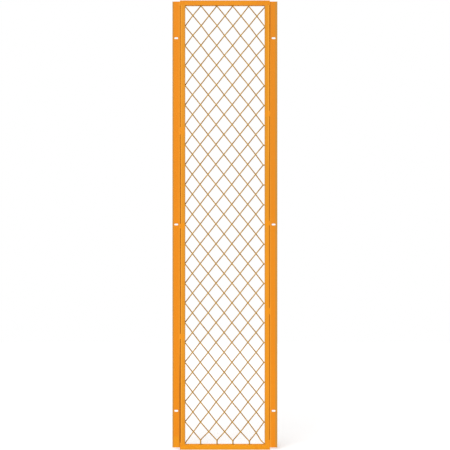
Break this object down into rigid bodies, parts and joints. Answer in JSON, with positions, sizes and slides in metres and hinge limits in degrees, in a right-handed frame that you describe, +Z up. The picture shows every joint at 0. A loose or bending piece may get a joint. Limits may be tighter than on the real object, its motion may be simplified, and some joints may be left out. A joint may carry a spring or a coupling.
{
  "type": "machine guard fence panel",
  "caption": "Tall narrow machine guard panel: woven diamond wire mesh in a steel channel frame, with a slotted mounting flange down each long side",
  "frame": {"origin": "on the back face of the left mounting flange, on its centreline, midway between its lower and middle slots", "axes": "+X across the panel from the left flange to the right one, +Y from the front of the panel to the back, +Z up"},
  "size_m": [0.3556, 0.0128, 1.524],
  "materials": {
    "frame_coat": "orange powder coat on steel channel, satin gloss",
    "flange_coat": "orange powder coat on flat bar, satin gloss",
    "wire_coat": "orange powder coat on round steel wire, seen darker against the light",
    "weld_coat": "orange powder coat over weld beads"
  },
  "bodies": {
    "root": {"left_stile_channel": "frame_coat", "right_stile_channel": "frame_coat", "top_rail_channel": "frame_coat", "bottom_rail_channel": "frame_coat", "left_mounting_flange": "flange_coat", "right_mounting_flange": "flange_coat", "woven_wire_mesh": "wire_coat", "left_flange_weld": "weld_coat", "right_flange_weld": "weld_coat", "top_left_corner_weld": "weld_coat", "top_right_corner_weld": "weld_coat", "bottom_left_corner_weld": "weld_coat", "bottom_right_corner_weld": "weld_coat"}
  },
  "joints": []
}
